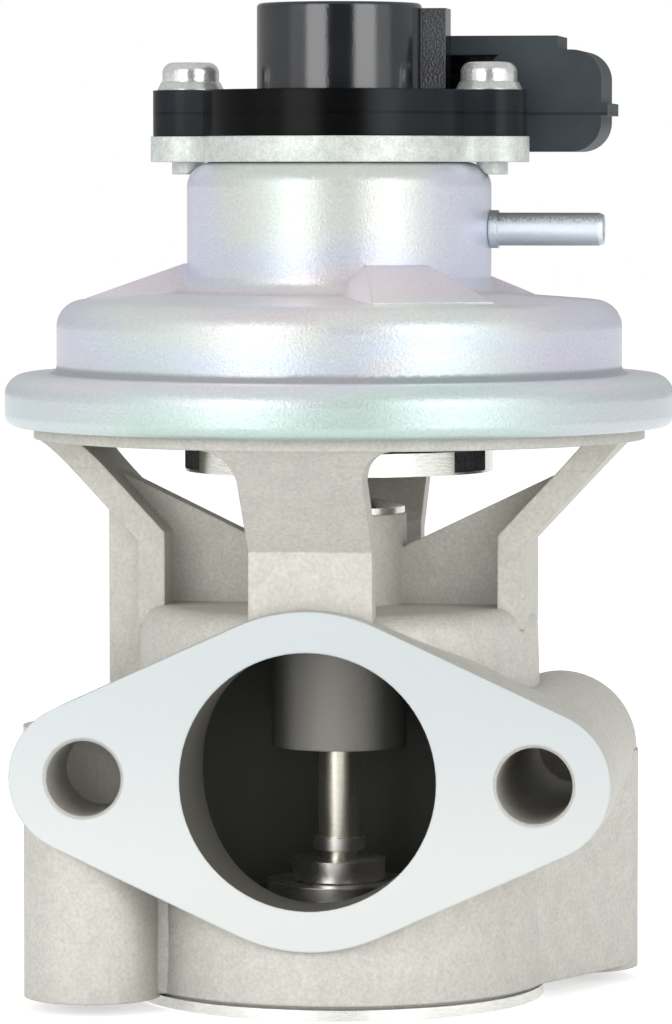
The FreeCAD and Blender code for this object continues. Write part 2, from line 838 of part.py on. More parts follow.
def vent_filter():
    """Foam ring that fills the cover and shows in its windows."""
    body = turned_part("vent_filter", [
        ("filter_hole_rad", "cover_low + cover_wall"),
        ("cover_rad - cover_wall", "cover_low + cover_wall"),
        ("cover_rad - cover_wall", "ring_low"),
        ("filter_hole_rad", "ring_low"),
    ])
    blocks = window_boxes(body, "cover_rad - 0.3", "window_wide")
    pad(body, blocks, "cover_tall - window_sill")
    return body


# Pressed steel can


def can_shell(body):
    """Sheet of one thickness: crimp lip, rim, dome and neck in one outline."""
    sketch = sketch_on(body, "XZ_Plane")
    draw_polygon(sketch, [
        (f"{RIM_RAD} - rim_lip", RIM_LOW),
        (RIM_RAD, RIM_LOW),
        (RIM_RAD, RIM_TOP),
        (DOME_RAD, RIM_TOP),
        (DOME_RAD, DOME_TOP),
        ("neck_rad", f"{DOME_TOP} + dome_rise"),
        ("neck_rad", NECK_TOP),
        ("can_hole_rad", NECK_TOP),
        ("can_hole_rad", f"{NECK_TOP} - can_wall"),
        ("neck_rad - can_wall", f"{NECK_TOP} - can_wall"),
        ("neck_rad - can_wall", f"{DOME_TOP} + dome_rise - can_wall"),
        (f"{DOME_RAD} - can_wall", f"{DOME_TOP} - can_wall"),
        (f"{DOME_RAD} - can_wall", f"{RIM_TOP} - can_wall"),
        (f"{RIM_RAD} - can_wall", f"{RIM_TOP} - can_wall"),
        (f"{RIM_RAD} - can_wall", f"{RIM_LOW} + can_wall"),
        (f"{RIM_RAD} - rim_lip", f"{RIM_LOW} + can_wall"),
    ])
    revolve(body, sketch)


def can_bends(body):
    """Bend radii of the pressing, outer and inner ones together."""
    bends = (
        (RIM_RAD, RIM_TOP, "rim_round"),
        (f"{RIM_RAD} - can_wall", f"{RIM_TOP} - can_wall", "rim_round - can_wall"),
        (RIM_RAD, RIM_LOW, "rim_round - can_wall"),
        (DOME_RAD, RIM_TOP, "sheet_bend"),
        (DOME_RAD, DOME_TOP, "dome_round"),
        (f"{DOME_RAD} - can_wall", f"{DOME_TOP} - can_wall", "dome_round - can_wall"),
        ("neck_rad", NECK_TOP, "neck_round"),
        ("neck_rad - can_wall", f"{NECK_TOP} - can_wall", "neck_round - can_wall"),
    )
    for radius, level, amount in bends:
        blend_edges(body, "Fillet", [(f"-({radius})", "0", level)], amount)


def can_gussets(body):
    """Three pressed ramps that stiffen the neck: flared sides and a sloping crest."""
    low = f"({DOME_TOP} - gusset_sink)"
    high = f"({DOME_TOP} + gusset_tall)"
    reach = f"({DOME_RAD} - gusset_margin)"
    toe = f"{DOME_TOP} + dome_rise * gusset_margin / ({DOME_RAD} - neck_rad) + gusset_toe"
    section = sketch_on(body, "YZ_Plane", out=f"-{reach}")
    draw_polygon(section, [
        ("-gusset_base / 2", low),
        ("gusset_base / 2", low),
        ("gusset_crest / 2", high),
        ("-gusset_crest / 2", high),
    ])
    ramp = pad(body, section, f"{reach} - neck_rad + gusset_root")
    slope = sketch_on(body, "XZ_Plane")
    draw_polygon(slope, [
        (f"-{reach} - 1", toe),
        (f"-{reach}", toe),
        ("-neck_rad", high),
        ("-neck_rad", f"{high} + 1"),
        (f"-{reach} - 1", f"{high} + 1"),
    ])
    cut = pocket(body, slope, "gusset_base + 2", both_ways=True)
    polar_pattern(body, [ramp, cut], slope, "V_Axis", 3)
    inside = sketch_on(body, "XY_Plane", out=low)
    draw_circle(inside, "0", "0", "neck_rad - can_wall")
    pocket(body, inside, "gusset_tall + gusset_sink", backwards=True)
    foot = [
        (f"neck_rad * cos({turn})", f"neck_rad * sin({turn})", f"{DOME_TOP} + dome_rise") for turn in (0, 120, 240)
    ]
    blend_edges(body, "Fillet", foot, "neck_foot_round")


def vacuum_can():
    """Pressed can, crimped round the top ring of the casting."""
    body = new_body("vacuum_can")
    can_shell(body)
    can_bends(body)
    can_gussets(body)
    pipe_hole = sketch_on(body, "YZ_Plane")
    draw_circle(pipe_hole, "0", f"{NECK_TOP} - pipe_drop", "pipe_rad")
    pocket(body, pipe_hole, "neck_rad + 1", backwards=True)
    return body


def vacuum_pipe():
    """Nipple brazed through the neck, with a collar outside the wall."""
    body = new_body("vacuum_pipe")
    sketch = sketch_on(body, "XZ_Plane", rise=f"{NECK_TOP} - pipe_drop")
    inner_end = "neck_rad - 1.5 * can_wall"
    draw_polygon(sketch, [
        (inner_end, "pipe_bore_rad"),
        (PIPE_END, "pipe_bore_rad"),
        (PIPE_END, "pipe_rad - pipe_chamfer / 2"),
        (f"{PIPE_END} - pipe_chamfer", "pipe_rad"),
        ("neck_rad + pipe_collar_thick", "pipe_rad"),
        ("neck_rad + pipe_collar_thick", "pipe_collar_rad"),
        ("neck_rad", "pipe_collar_rad"),
        ("neck_rad", "pipe_rad"),
        (inner_end, "pipe_rad"),
    ])
    revolve(body, sketch, axis="H_Axis")
    return body


# Sensor


def eared_outline(body, out, margin):
    """Two sketches of the sensor's foot: the round middle and the bar with both ears."""
    middle = sketch_on(body, "XY_Plane", out=out)
    draw_circle(middle, "0", "0", f"base_rad + {margin}")
    ears = sketch_on(body, "XY_Plane", out=out)
    join_arcs(ears, [
        draw_arc(ears, "-ear_half", "0", f"ear_rad + {margin}", 90, 270),
        draw_arc(ears, "ear_half", "0", f"ear_rad + {margin}", -90, 90),
    ])
    return middle, ears


def blend_ears(body, margin, level):
    """Round the four inner corners where the ears leave the round middle."""
    half_wide = f"(ear_rad + {margin})"
    across = f"sqrt((base_rad + {margin})^2 - {half_wide}^2)"
    corners = [(f"{a}{across}", f"{b}{half_wide}", level) for a in ("", "-") for b in ("", "-")]
    blend_edges(body, "Fillet", corners, "ear_fillet")


def sensor_plate():
    """Thick zinc plated plate on the neck, with collars for the screw threads."""
    body = new_body("sensor_plate")
    middle, ears = eared_outline(body, NECK_TOP, "plate_margin")
    pad(body, middle, "sensor_plate_thick")
    pad(body, ears, "sensor_plate_thick")
    blend_ears(body, "plate_margin", f"{NECK_TOP} + sensor_plate_thick / 2")
    collars = sketch_on(body, "XY_Plane", out=f"{NECK_TOP} - collar_drop")
    draw_circle(collars, "-ear_half", "0", "screw_collar_rad")
    draw_circle(collars, "ear_half", "0", "screw_collar_rad")
    pad(body, collars, "collar_drop")
    trim_to_shoulder(body)
    openings = sketch_on(body, "XY_Plane", out=f"{NECK_TOP} - collar_drop")
    draw_circle(openings, "0", "0", "snout_rad + 2 * oring_rad + running_gap")
    draw_circle(openings, "-ear_half", "0", "screw_rad")
    draw_circle(openings, "ear_half", "0", "screw_rad")
    pocket(body, openings, "sensor_plate_thick + collar_drop", backwards=True)
    return body


def trim_to_shoulder(body):
    """Cut the collars back where they would run into the rounded shoulder of the neck."""
    sketch = sketch_on(body, "XZ_Plane")
    bend_in = "neck_round * (1 - cos(45)) - running_gap"
    draw_polygon(sketch, [
        ("0", f"{NECK_TOP} - collar_drop - 1"),
        ("neck_rad + running_gap", f"{NECK_TOP} - collar_drop - 1"),
        ("neck_rad + running_gap", f"{NECK_TOP} - neck_round / 2"),
        (f"neck_rad - ({bend_in})", f"{NECK_TOP} - ({bend_in})"),
        ("neck_rad - neck_round / 2", NECK_TOP),
        ("0", NECK_TOP),
    ])
    groove = body.newObject("PartDesign::Groove", "shoulder_groove")
    groove.Profile = sketch
    groove.ReferenceAxis = (sketch, ["V_Axis"])
    groove.Angle = 360
    doc.recompute()


def sensor_oring():
    """Seal round the snout, on top of the neck."""
    body = new_body("sensor_oring")
    sketch = sketch_on(body, "XZ_Plane")
    draw_circle(sketch, "snout_rad + oring_rad", f"{NECK_TOP} + oring_rad", "oring_rad")
    revolve(body, sketch)
    return body


def connector_hood(body):
    """Rounded socket behind the right screw, open to the back, with key and latch."""
    right = "hood_left + hood_wide"
    high = f"({HOOD_LOW} + hood_tall)"
    back = "hood_front + hood_long"
    shell = sketch_on(body, "XZ_Plane", out="-hood_front")
    draw_box(shell, "hood_left", right, HOOD_LOW, high)
    pad(body, shell, "hood_long", backwards=True)
    halfway = "hood_front + hood_long / 2"
    blend_edges(body, "Fillet", [
        ("hood_left", halfway, HOOD_LOW),
        ("hood_left", halfway, high),
        (right, halfway, HOOD_LOW),
        (right, halfway, high),
    ], "hood_round")
    cavity = sketch_on(body, "XZ_Plane", out=f"-({back})")
    draw_box(
        cavity, "hood_left + hood_wall", f"{right} - hood_wall", f"{HOOD_LOW} + hood_wall", f"{high} - hood_wall"
    )
    pocket(body, cavity, "hood_long - hood_end_wall", backwards=True)
    key = sketch_on(body, "XZ_Plane", out="-hood_front")
    key_low = f"{HOOD_LOW} + hood_key_rise"
    draw_box(key, f"{right} - hood_wall / 2", f"{right} + hood_key_wide", key_low, f"{key_low} + hood_key_tall")
    pad(body, key, "hood_long", backwards=True)
    latch = sketch_on(body, "XZ_Plane", out="-hood_front")
    draw_box(latch, "latch_left", "latch_left + latch_wide", f"{high} - hood_wall / 2", f"{high} + latch_thick")
    pad(body, latch, "latch_long", backwards=True)


def hood_bridge(body):
    """Block that ties the hood to the base, and the fin from it up to the latch."""
    block = sketch_on(body, "XY_Plane", out=BASE_LOW)
    draw_box(block, "bridge_left", "hood_left + hood_wall", "hood_front", "hood_front + bridge_long")
    pad(body, block, "bridge_rise - sensor_plate_thick")
    fin = sketch_on(body, "XY_Plane", out=BASE_LOW)
    draw_box(fin, "fin_left", "hood_left + hood_wall", "fin_front", "fin_front + fin_long")
    pad(body, fin, f"{HOOD_LOW} + hood_tall - {BASE_LOW}")


def sensor_housing():
    """Moulded base with ears, the snout into the neck, the bridge and the hood."""
    body = new_body("sensor_housing")
    connector_hood(body)
    hood_bridge(body)
    middle, ears = eared_outline(body, BASE_LOW, "0")
    pad(body, middle, "base_tall")
    pad(body, ears, "base_tall")
    snout = sketch_on(body, "XY_Plane", out=SNOUT_LOW)
    draw_circle(snout, "0", "0", "snout_rad")
    pad(body, snout, f"{BASE_LOW} - {SNOUT_LOW}")
    bore = sketch_on(body, "XY_Plane", out=SNOUT_LOW)
    draw_circle(bore, "0", "0", "sensor_bore_rad")
    pocket(body, bore, f"{BASE_TOP} - {SNOUT_LOW}", backwards=True)
    screw_holes = sketch_on(body, "XY_Plane", out=BASE_LOW)
    draw_circle(screw_holes, "-ear_half", "0", "screw_rad + screw_gap")
    draw_circle(screw_holes, "ear_half", "0", "screw_rad + screw_gap")
    pocket(body, screw_holes, "base_tall", backwards=True)
    return body


def sensor_cap():
    """Round cap with the flat tab on its right."""
    high = f"({BASE_TOP} + cap_tall)"
    body = turned_part("sensor_cap", [
        ("cap_rad - cap_wall", BASE_TOP),
        ("cap_rad", BASE_TOP),
        ("cap_rad", high),
        ("0", high),
        ("0", f"{high} - cap_wall"),
        ("cap_rad - cap_wall", f"{high} - cap_wall"),
    ])
    tab = sketch_on(body, "XY_Plane", out=BASE_TOP)
    draw_box(tab, "cap_rad - cap_wall / 2", "tab_reach", "0", "tab_wide")
    pad(body, tab, "cap_tall - tab_drop")
    blend_edges(body, "Fillet", [("-cap_rad", "0", high)], "cap_round")
    return body


def connector_terminals():
    """Three blades standing in the hood's end wall."""
    body = new_body("connector_terminals")
    root = "hood_front + hood_end_wall"
    middle = "hood_left + hood_wide / 2"
    level = f"{HOOD_LOW} + hood_tall / 2"
    blades = sketch_on(body, "XZ_Plane", out=f"-({root})")
    for place in ("-1", "0", "1"):
        centre = f"{middle} + {place} * blade_pitch"
        draw_box(blades, f"{centre} - blade_wide / 2", f"{centre} + blade_wide / 2",
                 f"{level} - blade_thick / 2", f"{level} + blade_thick / 2")
    pad(body, blades, "blade_long", backwards=True)
    return body


def at_both_ears(label, make_one):
    """Two equal pieces, one on each ear, as one sub-part of separate solids."""
    pieces = []
    for side, across in (("left", "-ear_half"), ("right", "ear_half")):
        piece = make_one(f"{label}_{side}")
        piece.setExpression("Placement.Base.x", bound(across))
        pieces.append(piece)
    pair = doc.addObject("Part::Compound", label)
    pair.Label = label
    pair.Links = pieces
    doc.recompute()
    return pair


def one_washer(label):
    return turned_part(label, [
        ("screw_rad", BASE_TOP),
        ("washer_rad", BASE_TOP),
        ("washer_rad - washer_thick / 2", f"{BASE_TOP} + washer_thick"),
        ("screw_rad", f"{BASE_TOP} + washer_thick"),
    ])


def one_screw(label):
    """Pan head screw with a cross recess."""
    seat = f"({BASE_TOP} + washer_thick)"
    body = turned_part(label, [
        ("0", NECK_TOP),
        ("screw_rad", NECK_TOP),
        ("screw_rad", seat),
        ("head_rad", seat),
        ("head_rad", f"{seat} + head_tall"),
        ("0", f"{seat} + head_tall"),
    ])
    blend_edges(body, "Fillet", [("-head_rad", "0", f"{seat} + head_tall")], "head_round")
    long_half = "recess_long / 2"
    wide_half = "recess_wide / 2"
    cross = sketch_on(body, "XY_Plane", out=f"{seat} + head_tall - recess_deep")
    draw_polygon(cross, [
        (long_half, f"-{wide_half}"), (long_half, wide_half), (wide_half, wide_half),
        (wide_half, long_half), (f"-{wide_half}", long_half), (f"-{wide_half}", wide_half),
        (f"-{long_half}", wide_half), (f"-{long_half}", f"-{wide_half}"), (f"-{wide_half}", f"-{wide_half}"),
        (f"-{wide_half}", f"-{long_half}"), (wide_half, f"-{long_half}"), (wide_half, f"-{wide_half}"),
    ])
    pocket(body, cross, "recess_deep", backwards=True)
    return body


# Works inside the sensor


def plunger_guide():
    high = f"{SNOUT_LOW} + guide_ring_tall"
    return ring("plunger_guide", "plunger_rad + running_gap", "sensor_bore_rad", SNOUT_LOW, high)


def sensor_plunger():
    """Plunger that rests on the end of the stem and passes its guide."""
    low = "spigot_top + plunger_gap"
    return turned_part("sensor_plunger", [
        ("0", low),
        ("plunger_tip_rad", low),
        ("plunger_tip_rad", f"{low} + plunger_tip_tall"),
        ("plunger_rad", f"{low} + plunger_tip_tall"),
        ("plunger_rad", CARRIER_TOP),
        ("0", CARRIER_TOP),
    ])


def wiper_carrier():
    return ring("wiper_carrier", "plunger_rad", "carrier_rad", CARRIER_LOW, CARRIER_TOP)


def wiper():
    """Spring finger on the carrier that slides along the track."""
    body = new_body("wiper")
    sketch = sketch_on(body, "XY_Plane", out=CARRIER_TOP)
    draw_box(sketch, "-wiper_wide / 2", "wiper_wide / 2", "small_spring_rad + 2 * small_wire_rad",
             "card_near - wiper_gap")
    pad(body, sketch, "wiper_thick")
    return body


def track_card():
    """Card with the resistor track, standing on the guide ring."""
    body = new_body("track_card")
    low = f"{SNOUT_LOW} + guide_ring_tall"
    sketch = sketch_on(body, "XY_Plane", out=low)
    draw_box(sketch, "-card_wide / 2", "card_wide / 2", "card_near", "card_near + card_thick")
    pad(body, sketch, f"{NECK_TOP} + card_rise - ({low})")
    return body


def plunger_spring():
    low = f"{CARRIER_TOP} + running_gap"
    high = f"{BASE_TOP} + cap_tall - cap_wall - running_gap"
    return coil_spring(
        "plunger_spring", "small_spring_rad", "small_wire_rad", "small_spring_turns", low, high
    )


def make_all():
    return [
        valve_body(),
        inlet_gasket(),
        valve_seat(),
        guide_bush(),
        stem_seal(),
        valve_stem(),
        valve_disc(),
        stem_collar(),
        lower_plate(),
        upper_plate(),
        stem_nut(),
        diaphragm(),
        return_spring(),
        spring_seat(),
        filter_cover(),
        vent_filter(),
        vacuum_can(),
        vacuum_pipe(),
        sensor_plate(),
        sensor_oring(),
        sensor_housing(),
        sensor_cap(),
        connector_terminals(),
        at_both_ears("screw_washers", one_washer),
        at_both_ears("sensor_screws", one_screw),
        plunger_guide(),
        sensor_plunger(),
        wiper_carrier(),
        wiper(),
        track_card(),
        plunger_spring(),
    ]


def check(sub_parts):
    """Stop before anything is written if a feature failed or a shape is not sound."""
    for item in doc.Objects:
        if "Invalid" in item.State or "Error" in item.State:
            raise RuntimeError(f"{item.Name} failed: {item.State}")
    for item in sub_parts:
        if item.Shape.isNull() or not item.Shape.isValid():
            raise RuntimeError(f"{item.Label} has no valid shape")


def export(sub_parts):
    os.makedirs("parts", exist_ok=True)
    for item in sub_parts:
        item.Shape.exportStep(f"parts/{item.Label}.step")
        print(f"{item.Label:22s} solids {len(item.Shape.Solids)}  volume {item.Shape.Volume:10.1f}")


sub_parts = make_all()
doc.recompute()
check(sub_parts)
export(sub_parts)
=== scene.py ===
"""Vacuum operated EGR valve: the look of each piece, the studio and the camera.

Every length is in metres, in the frame of the CAD model: +Z up along the
valve stem, -Y out of the outlet flange, +X along the vacuum pipe.
"""
import math

import bpy
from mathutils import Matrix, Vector

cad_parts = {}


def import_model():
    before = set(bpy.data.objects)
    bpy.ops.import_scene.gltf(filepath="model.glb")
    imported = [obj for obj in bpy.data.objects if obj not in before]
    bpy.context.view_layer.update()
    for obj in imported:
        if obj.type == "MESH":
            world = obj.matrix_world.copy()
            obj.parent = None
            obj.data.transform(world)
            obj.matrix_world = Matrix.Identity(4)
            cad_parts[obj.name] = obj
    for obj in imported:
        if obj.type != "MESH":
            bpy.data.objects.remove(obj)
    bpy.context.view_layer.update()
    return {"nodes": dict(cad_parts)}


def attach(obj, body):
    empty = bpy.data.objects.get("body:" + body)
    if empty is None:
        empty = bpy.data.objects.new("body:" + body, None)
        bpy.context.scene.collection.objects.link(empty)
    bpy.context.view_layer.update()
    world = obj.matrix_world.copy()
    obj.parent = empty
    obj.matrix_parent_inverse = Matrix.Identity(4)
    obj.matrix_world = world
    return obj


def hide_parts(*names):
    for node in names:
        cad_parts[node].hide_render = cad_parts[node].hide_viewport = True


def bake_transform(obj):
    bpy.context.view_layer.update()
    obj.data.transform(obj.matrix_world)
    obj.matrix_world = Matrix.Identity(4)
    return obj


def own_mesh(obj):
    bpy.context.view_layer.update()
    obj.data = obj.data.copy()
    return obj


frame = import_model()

MM = 0.001


# Colours

def tone(red, green, blue):
    """The linear colour of three display values from 0 to 255."""
    def linear(value):
        part = value / 255
        return part / 12.92 if part <= 0.04045 else ((part + 0.055) / 1.055) ** 2.4
    return (linear(red), linear(green), linear(blue), 1.0)


# Building a material

class Finish:
    """One material: its nodes end in one Principled shader."""

    def __init__(self, name):
        self.material = bpy.data.materials.new(name)
        self.material.use_nodes = True
        self.tree = self.material.node_tree
        self.shader = self.tree.nodes["Principled BSDF"]
        self.place = self.add("ShaderNodeTexCoord").outputs["Object"]
        split = self.add("ShaderNodeSeparateXYZ")
        self.put(split.inputs["Vector"], self.place)
        self.x, self.y, self.z = split.outputs

    def add(self, kind, **settings):
        """A new node with these properties."""
        node = self.tree.nodes.new(kind)
        for name, value in settings.items():
            setattr(node, name, value)
        return node

    def put(self, socket, value):
        """Joins an output to a socket, or sets the socket's own value."""
        if isinstance(value, bpy.types.NodeSocket):
            self.tree.links.new(value, socket)
        else:
            socket.default_value = value

    def maths(self, operation, *values):
        """The result of one Math node."""
        node = self.add("ShaderNodeMath", operation=operation)
        for socket, value in zip(node.inputs, values):
            self.put(socket, value)
        return node.outputs["Value"]

    def between(self, value, start, end, low=0.0, high=1.0):
        """The value's way from start to end, turned into low to high with soft ends."""
        node = self.add("ShaderNodeMapRange", interpolation_type="SMOOTHSTEP")
        self.put(node.inputs["Value"], value)
        self.put(node.inputs["From Min"], start)
        self.put(node.inputs["From Max"], end)
        self.put(node.inputs["To Min"], low)
        self.put(node.inputs["To Max"], high)
        return node.outputs["Result"]

    def under(self, value, limit, soft):
        """1 where the value is under the limit and 0 over it, with an edge that wide."""
        return self.between(value, limit + soft / 2, limit - soft / 2)

    def over(self, value, limit, soft):
        """1 where the value is over the limit and 0 under it, with an edge that wide."""
        return self.between(value, limit - soft / 2, limit + soft / 2)

    def vary(self, noise, low, high, spread=0.2):
        """Low in the hollows of a noise and high on its lumps, which lie that far from 0.5."""
        return self.between(noise, 0.5 - spread, 0.5 + spread, low, high)

    def all_of(self, mask, *others):
        """1 where all these masks are 1."""
        for other in others:
            mask = self.maths("MULTIPLY", mask, other)
        return mask

    def mix(self, share, first, second):
        """A colour that goes from first to second."""
        node = self.add("ShaderNodeMix", data_type="RGBA")
        self.put(node.inputs["Factor"], share)
        self.put(node.inputs["A"], first)
        self.put(node.inputs["B"], second)
        return node.outputs["Result"]

    def shade(self, colour, amount):
        """The colour times an amount."""
        node = self.add("ShaderNodeMix", data_type="RGBA", blend_type="MULTIPLY")
        self.put(node.inputs["Factor"], 1.0)
        self.put(node.inputs["A"], colour)
        grey = self.add("ShaderNodeCombineColor")
        for socket in grey.inputs:
            self.put(socket, amount)
        self.put(node.inputs["B"], grey.outputs["Color"])
        return node.outputs["Result"]

    def noise(self, size, detail=2.0, rough=0.5, finer=(1, 1, 1), seed=0.0):
        """Cloudy noise with lumps of that size, which can be finer along X, Y or Z."""
        scale = self.add("ShaderNodeVectorMath", operation="MULTIPLY")
        self.put(scale.inputs[0], self.place)
        self.put(scale.inputs[1], [part / size for part in finer])
        node = self.add("ShaderNodeTexNoise", noise_dimensions="4D")
        self.put(node.inputs["Vector"], scale.outputs["Vector"])
        self.put(node.inputs["W"], seed)
        self.put(node.inputs["Scale"], 1.0)
        self.put(node.inputs["Detail"], detail)
        self.put(node.inputs["Roughness"], rough)
        return node.outputs["Fac"]

    def ramp(self, value, stops):
        """A colour from a list of (place from 0 to 1, colour)."""
        node = self.add("ShaderNodeValToRGB")
        self.put(node.inputs["Fac"], value)
        elements = node.color_ramp.elements
        while len(elements) < len(stops):
            elements.new(0.5)
        for element, (place, colour) in zip(elements, stops):
            element.position = place
            element.color = colour
        return node.outputs["Color"]

    def radius(self, across, along, middle=(0.0, 0.0)):
        """The distance from an axis, given the two coordinates square to it."""
        squares = []
        for value, centre in zip((across, along), middle):
            away = self.maths("SUBTRACT", value, centre)
            squares.append(self.maths("MULTIPLY", away, away))
        return self.maths("SQRT", self.maths("ADD", *squares))

    def edges(self, size):
        """A normal that rounds sharp edges by that radius."""
        node = self.add("ShaderNodeBevel", samples=4)
        self.put(node.inputs["Radius"], size)
        return node.outputs["Normal"]

    def open_sky(self, distance):
        """How free a spot is within that distance: 1 in the open, less in a hollow."""
        node = self.add("ShaderNodeAmbientOcclusion", samples=8)
        self.put(node.inputs["Distance"], distance)
        return node.outputs["AO"]

    def bump(self, height, depth, normal=None):
        """A normal from a height of 0 to 1 that stands for that depth."""
        node = self.add("ShaderNodeBump")
        self.put(node.inputs["Height"], height)
        self.put(node.inputs["Distance"], depth)
        if normal is not None:
            self.put(node.inputs["Normal"], normal)
        return node.outputs["Normal"]

    def finish(self, **sockets):
        """Sets the shader's sockets by name and gives back the material."""
        for name, value in sockets.items():
            self.put(self.shader.inputs[name.replace("_", " ")], value)
        return self.material


# Materials

def cast_aluminium():
    """Light grey casting with a fine grain and a milled flange face, painted shade in its hollows and
    gas ways, and painted light on the middle of the guide boss.
    """
    flange_face, flange_top = -25.9 * MM, 49.0 * MM
    outlet_height, outlet_radius, outlet_end = 28.4 * MM, 15.6 * MM, -9.3 * MM
    chamber_radius, chamber_top = 18.25 * MM, 44.45 * MM
    boss_radius, boss_painted_light_reach = 8.4 * MM, 5.4 * MM

    made = Finish("cast_aluminium")
    clouds = made.noise(30 * MM, detail=2)
    mottle = made.noise(2.4 * MM, detail=4, rough=0.6)
    grain = made.noise(0.45 * MM, detail=3, rough=0.7)
    cast = made.mix(clouds, tone(203, 201, 193), tone(214, 212, 205))
    cast = made.shade(cast, made.vary(mottle, 0.95, 1.03))
    cast = made.shade(cast, made.vary(grain, 0.86, 1.08, spread=0.25))
    # painted shade: the colour darkens in hollows and corners, where shade falls
    cast = made.shade(cast, made.vary(made.open_sky(14 * MM), 0.76, 1.05, spread=0.25))

    milled = made.all_of(
        made.under(made.y, flange_face, 0.1 * MM),
        made.under(made.z, flange_top, 0.4 * MM),
    )
    downward = made.between(made.z, 44 * MM, 12 * MM)
    colour = made.mix(milled, cast, made.mix(downward, tone(202, 209, 210), tone(220, 223, 221)))

    from_stem = made.radius(made.x, made.y)
    from_outlet = made.radius(made.x, made.z, (0.0, outlet_height))
    chamber = made.all_of(
        made.under(from_stem, chamber_radius, 0.2 * MM),
        made.under(made.z, chamber_top, 0.3 * MM),
    )
    bore = made.all_of(
        made.under(from_outlet, outlet_radius, 0.2 * MM),
        made.under(made.y, outlet_end, 0.6 * MM),
    )
    boss = made.all_of(
        made.under(from_stem, boss_radius, 0.2 * MM),
        made.under(made.maths("ABSOLUTE", made.x), boss_painted_light_reach, 2.8 * MM),
    )
    off_the_face = made.maths("SUBTRACT", 1.0, milled)
    # painted shade: the chamber is darkened, and the outlet bore a little less, being nearer the light
    # at its mouth
    colour = made.mix(made.all_of(chamber, off_the_face), colour, tone(112, 113, 107))
    colour = made.mix(made.all_of(bore, off_the_face), colour, tone(124, 122, 115))
    # painted light: the middle of the guide boss is lighter and its sides fall off into shade
    colour = made.mix(made.all_of(chamber, boss), colour, tone(176, 174, 168))

    rough = made.between(milled, 0.0, 1.0, 0.62, 0.45)
    depth = made.between(milled, 0.0, 1.0, 1.0, 0.10)
    normal = made.edges(0.35 * MM)
    for height in (grain, mottle):
        normal = made.bump(made.maths("MULTIPLY", height, depth), 0.08 * MM, normal)
    return made.finish(Base_Color=colour, Metallic=0.25, Roughness=rough, Normal=normal)


def steel(name, colour, rough):
    """Bare or plated steel with fine tool marks that lie level."""
    made = Finish(name)
    marks = made.noise(0.25 * MM, detail=3, rough=0.6, finer=(0.25, 0.25, 1.0))
    clouds = made.noise(9 * MM, detail=3)
    tint = made.shade(colour, made.vary(clouds, 0.88, 1.05))
    tint = made.shade(tint, made.vary(marks, 0.93, 1.04))
    roughness = made.vary(clouds, rough * 0.8, rough * 1.25)
    normal = made.bump(marks, 0.02 * MM, made.edges(0.15 * MM))
    return made.finish(Base_Color=tint, Metallic=1.0, Roughness=roughness, Normal=normal)


